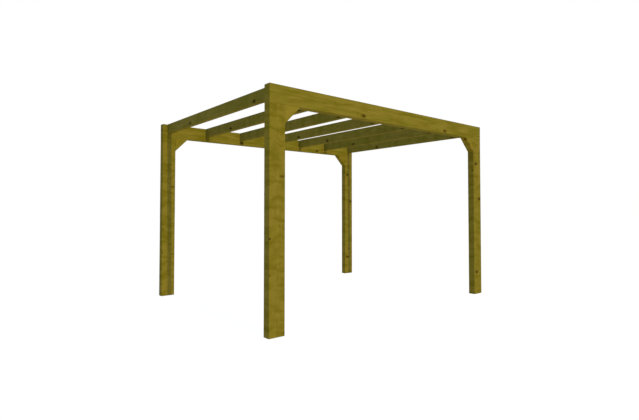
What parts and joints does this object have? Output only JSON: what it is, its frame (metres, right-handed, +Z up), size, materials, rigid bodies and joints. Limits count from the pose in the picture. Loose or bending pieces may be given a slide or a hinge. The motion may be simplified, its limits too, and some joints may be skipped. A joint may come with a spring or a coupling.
{
  "type": "pergola",
  "caption": "Free-standing flat-topped garden pergola of treated timber: front and rear portal frames with solid corner braces, joined by rafters set flush between the beams.",
  "frame": {"origin": "on the ground, at the middle of the plan", "axes": "+X to the right along the beams, +Y to the rear along the rafters, +Z up"},
  "size_m": [3.64, 2.8, 2.4],
  "materials": {
    "beam_timber": "planed, green treated",
    "post_timber": "planed, green treated",
    "brace_timber": "planed, green treated",
    "rafter_timber": "planed, green treated"
  },
  "bodies": {
    "root": {"front_beam": "beam_timber", "rear_beam": "beam_timber", "front_left_post": "post_timber", "front_right_post": "post_timber", "rear_left_post": "post_timber", "rear_right_post": "post_timber", "front_left_brace": "brace_timber", "front_right_brace": "brace_timber", "rear_left_brace": "brace_timber", "rear_right_brace": "brace_timber", "rafter_1": "rafter_timber", "rafter_2": "rafter_timber", "rafter_3": "rafter_timber", "rafter_4": "rafter_timber", "rafter_5": "rafter_timber", "rafter_6": "rafter_timber", "rafter_7": "rafter_timber"}
  },
  "joints": []
}
